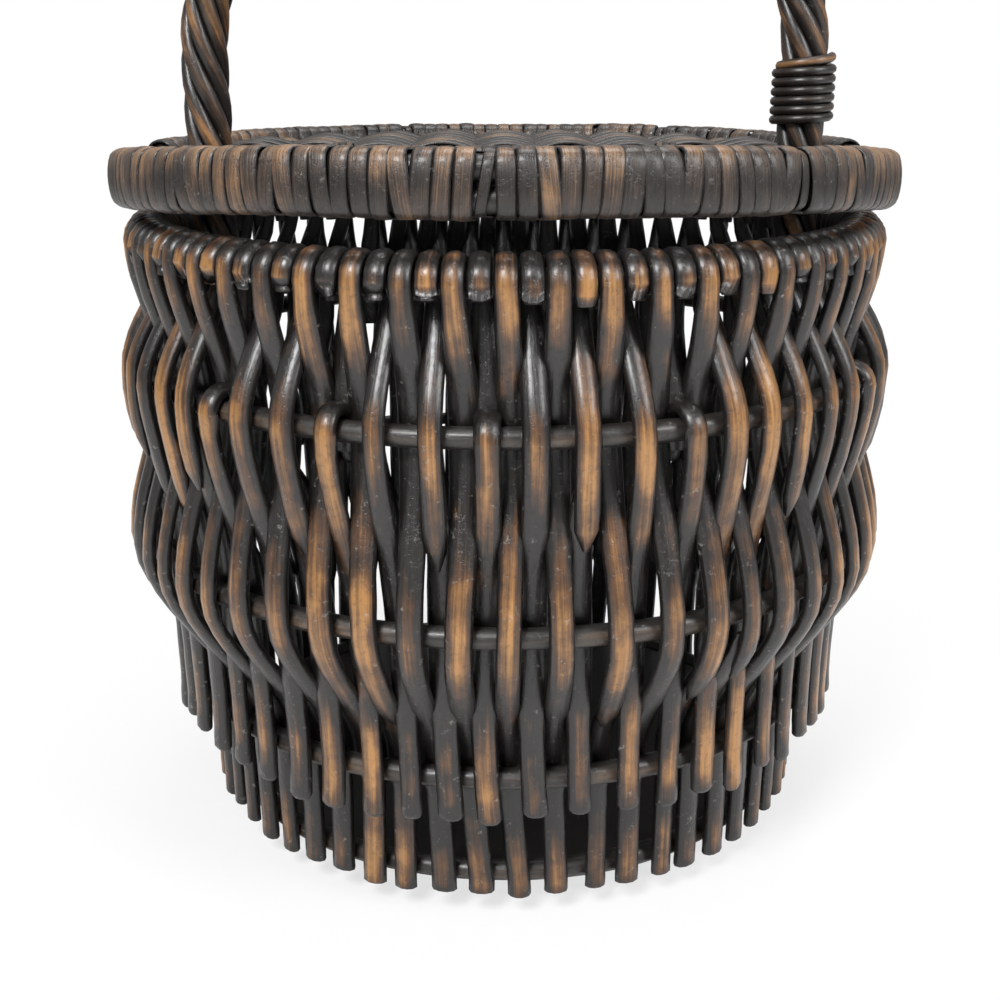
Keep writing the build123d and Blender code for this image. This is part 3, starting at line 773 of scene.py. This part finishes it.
@dataclass
class Lid:
    """One half-round lid: wrapped frame, wrapped back rod, stakes and weavers."""

    shop: Workshop
    body: Body
    hinge_offset: float = 30.94
    hinge_height: float = 284.35
    middle_height: float = 282.1
    frame_middle: float = 158.0
    frame_out: float = 7.0
    frame_up: float = 11.75
    inner: float = 150.1
    weave_height: float = 287.85
    lift: float = 4.2

    def build(self) -> None:
        """Builds every piece of the lid."""
        name = self.body.value
        rng = np.random.default_rng(SEED + (3 if self.body is Body.FRONT_LID else 4))
        end = math.asin((self.hinge_offset - 2) / 151)
        angles = np.linspace(math.pi + end, math.tau - end, 240)
        out = np.stack([np.cos(angles), np.sin(angles), np.zeros(240)], axis=1)
        up = np.tile([0.0, 0.0, 1.0], (240, 1))
        wave = 0.45 + 0.3 * np.sin(angles * 5) + 0.2 * np.sin(angles * 9 + 1)
        path = out * self.frame_middle + up * (self.middle_height + wave[:, None])
        strips = skein_turns(path, out, up, self.frame_out - 0.7, self.frame_up - 0.8, 6.0, 6.6, 3.7, rng,
                             gaps=(0.487, 0.74) if self.body is Body.FRONT_LID else (0.3, 0.62))
        self._sweep("rim_skein", strips, Slot.SKEIN, ("rim_wrap",), sides=8, flatness=0.2, knots=0.12, spacing=4)
        rods = []
        for shift in (5.0, -5.0):
            rods.append(Rod(path + up * shift, up, out, blunt(np.full(240, 4.7)), np.full(240, 0.3), 0.5))
        self._sweep("frame_rods_bent", rods, Slot.FRAME_ROD, ("frame_rods",), knots=0.2)

        half = math.sqrt(150.56**2 - (self.hinge_offset + 6.8) ** 2) - 0.3
        x = np.linspace(-half, half, 90)
        line = np.stack([x, np.full(90, -self.hinge_offset), np.full(90, self.hinge_height)], axis=1)
        y_out = np.tile([0.0, -1.0, 0.0], (90, 1))
        z_up = np.tile([0.0, 0.0, 1.0], (90, 1))
        self._sweep("back_rod_core", [Rod(line, y_out, z_up, blunt(np.full(90, 5.3)), np.full(90, 0.3), 0.5)],
                    Slot.FRAME_ROD, ("back_rod",), knots=0.1)
        turns = skein_turns(line, y_out, z_up, 6.15, 6.15, 6.15, 6.4, 3.45, rng, lean=3.0)
        self._sweep("back_rod_skein", turns, Slot.SKEIN, ("back_wrap",), sides=8, flatness=0.17, knots=0.05, spacing=4)
        self._sweep("panel_stakes", self.stakes(rng), Slot.WEAVE, ("stakes",), sides=8, knots=0.2)
        self._sweep("panel_weavers", self.weavers(rng), Slot.WEAVE, ("weavers",), sides=8, flatness=0.3, knots=0.25)
        LOG.info("%s finished", name)

    def _sweep(self, name: str, rods: list[Rod], slot: Slot, nodes: tuple[str, ...], **shape: float) -> None:
        """Sweeps rods made for the closed front lid, at this lid's own place."""
        placed = [self._placed(r) for r in rods]
        self.shop.sweep(f"{self.body.value}_{name}", placed, slot, self.body,
                        tuple(f"{self.body.value}_{n}" for n in nodes), **shape)

    def _placed(self, rod: Rod) -> Rod:
        """Moves a rod from the closed front lid to this lid."""
        if self.body is Body.REAR_LID:
            turn, pivot = np.diag([-1.0, -1.0, 1.0]), np.zeros(3)
        else:
            a = math.radians(self.lift)
            turn = np.array([[1, 0, 0], [0, math.cos(a), math.sin(a)], [0, -math.sin(a), math.cos(a)]])
            pivot = np.array([0, -self.hinge_offset, self.hinge_height])
        return Rod((rod.points - pivot) @ turn.T + pivot, rod.side @ turn.T, rod.away @ turn.T,
                   rod.half_width, rod.wear, rod.tone)

    def stakes(self, rng: np.random.Generator) -> list[Rod]:
        """The straight stakes that run out from the back rod."""
        rods = []
        for k in range(9):
            x = (k - 4) * 29.0
            y = np.linspace(-(self.hinge_offset + 7.1), -math.sqrt(self.inner**2 - (abs(x) + 2) ** 2), 24)
            points = np.stack([np.full(24, x), y, np.full(24, self.weave_height)], axis=1)
            side = np.tile([1.0, 0.0, 0.0], (24, 1))
            up = np.tile([0.0, 0.0, 1.0], (24, 1))
            rods.append(Rod(points, side, up, np.full(24, 2.1), np.full(24, 0.5), float(rng.uniform(0, 1))))
        return rods

    def weavers(self, rng: np.random.Generator) -> list[Rod]:
        """The rows of skein that pass over and under the stakes."""
        rods = []
        first = self.hinge_offset + 8.55 + 0.3 + 4.0
        for row in range(12):
            y = first + row * 8.9
            end = math.sqrt(self.inner**2 - (y + 4.2) ** 2)
            count = max(int(end / 1.6), 12)
            x = np.linspace(-end, end, count)
            phase = math.pi * row
            swing = 3.15 * np.cos(math.pi * x / 29.0 + phase) * np.clip((end - np.abs(x)) / 10 + 0.35, 0, 1)
            points = np.stack([x, np.full(count, -y) + rng.normal(0, 0.15), self.weave_height + swing], axis=1)
            side = np.tile([0.0, 1.0, 0.0], (count, 1))
            up = np.tile([0.0, 0.0, 1.0], (count, 1))
            rods.append(Rod(points, side, up, np.full(count, 4.5), 0.35 + 0.4 * swing / 3.15,
                            float(rng.uniform(0, 1))))
        return rods


@dataclass
class Studio:
    """Floor, lamps, world and camera at the photograph's viewing angle."""

    camera_place: tuple[float, float, float] = (-0.002, -0.618, 0.334)
    pitch_down: float = 18.0
    lens: float = 50.4

    def build(self) -> None:
        """Sets up the whole studio."""
        self._floor()
        self._lamp("key", (-0.55, -1.25, 1.45), 0.55, 36.0)
        self._lamp("fill", (1.25, -0.9, 1.1), 0.7, 18.0)
        self._lamp("top", (0.1, 0.3, 1.9), 1.0, 20.0)
        self._world()
        camera = bpy.data.objects.new("camera", bpy.data.cameras.new("camera"))
        camera.data.lens = self.lens
        camera.data.sensor_width = 36.0
        camera.data.clip_start = 0.01
        camera.location = self.camera_place
        camera.rotation_euler = (math.radians(90 - self.pitch_down), 0, 0)
        bpy.context.scene.collection.objects.link(camera)
        bpy.context.scene.camera = camera
        bpy.context.scene.view_settings.view_transform = "Standard"

    def _floor(self) -> None:
        """Lays a pale floor."""
        mesh = bpy.data.meshes.new("floor")
        size = 12.0
        mesh.from_pydata([(-size, -size, 0), (size, -size, 0), (size, size, 0), (-size, size, 0)], [], [(0, 1, 2, 3)])
        floor = bpy.data.objects.new("floor", mesh)
        material = bpy.data.materials.new("Pale floor")
        material.use_nodes = True
        material.node_tree.nodes.clear()
        b = TreeBuilder(material.node_tree)
        lit = b.add("ShaderNodeBsdfDiffuse", {"Color": (0.85, 0.85, 0.85, 1)}).outputs[0]
        white = b.add("ShaderNodeEmission", {"Color": (1, 1, 1, 1), "Strength": 1.0}).outputs[0]
        place = b.add("ShaderNodeTexCoord").outputs["Object"]
        far = b.add("ShaderNodeVectorMath", {0: place}, operation="LENGTH").outputs["Value"]
        share = b.add("ShaderNodeMapRange", {"Value": far, 1: 0.12, 2: 0.34, 3: 0.72, 4: 1.0}).outputs[0]
        seen = b.add("ShaderNodeLightPath").outputs["Is Camera Ray"]
        mix = b.add("ShaderNodeMixShader", {0: b.math("MULTIPLY", seen, share), 1: lit, 2: white})
        out = b.add("ShaderNodeOutputMaterial")
        material.node_tree.links.new(mix.outputs[0], out.inputs[0])
        mesh.materials.append(material)
        bpy.context.scene.collection.objects.link(floor)

    def _lamp(self, name: str, place: tuple[float, float, float], size: float, power: float) -> None:
        """Adds a soft lamp that looks at the basket."""
        lamp = bpy.data.lights.new(name, "AREA")
        lamp.size = size
        lamp.energy = power
        piece = bpy.data.objects.new(name, lamp)
        piece.location = place
        aim = np.array([0, 0, 0.2]) - np.array(place)
        yaw = math.atan2(aim[1], aim[0])
        tilt = math.acos(-aim[2] / np.linalg.norm(aim))
        piece.rotation_euler = (tilt, 0, yaw - math.pi / 2)
        bpy.context.scene.collection.objects.link(piece)

    def _world(self) -> None:
        """Lights evenly all round, and shows white to the camera."""
        world = bpy.data.worlds.new("studio")
        bpy.context.scene.world = world
        world.use_nodes = True
        world.node_tree.nodes.clear()
        b = TreeBuilder(world.node_tree)
        path = b.add("ShaderNodeLightPath").outputs
        seen = b.math("MAXIMUM", path["Is Camera Ray"], b.math("MULTIPLY", path["Is Glossy Ray"], 0.35))
        plain = b.add("ShaderNodeBackground", {"Color": (1, 1, 1, 1), "Strength": 0.10})
        white = b.add("ShaderNodeBackground", {"Color": (1, 1, 1, 1), "Strength": 1.0})
        mix = b.add("ShaderNodeMixShader", {0: seen, 1: plain.outputs[0], 2: white.outputs[0]})
        out = b.add("ShaderNodeOutputWorld")
        world.node_tree.links.new(mix.outputs[0], out.inputs[0])


def dress_board(frame: dict, shop: Workshop) -> None:
    """Gives the base board its finish, on the CAD solid itself."""
    board = frame["nodes"]["base_board"]
    board.data.materials.clear()
    board.data.materials.append(shop.materials[Slot.BASE_WOOD])


def main() -> None:
    """Loads the frame, builds every sub-assembly and sets the studio."""
    logging.basicConfig(level=logging.INFO, format="%(name)s: %(message)s")
    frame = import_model()
    stain = worn_stain_group()
    materials = {slot: finish.material(stain) for slot, finish in FINISHES.items()}
    shop = Workshop(swept_rods_tree(), materials)
    Wall(shop).build()
    dress_board(frame, shop)
    BowHandle(shop).build()
    Bridge(shop).build()
    Lid(shop, Body.FRONT_LID).build()
    Lid(shop, Body.REAR_LID).build()
    Studio().build()
    LOG.info("%d pieces", len(shop.made))


if __name__ == "__main__":
    main()
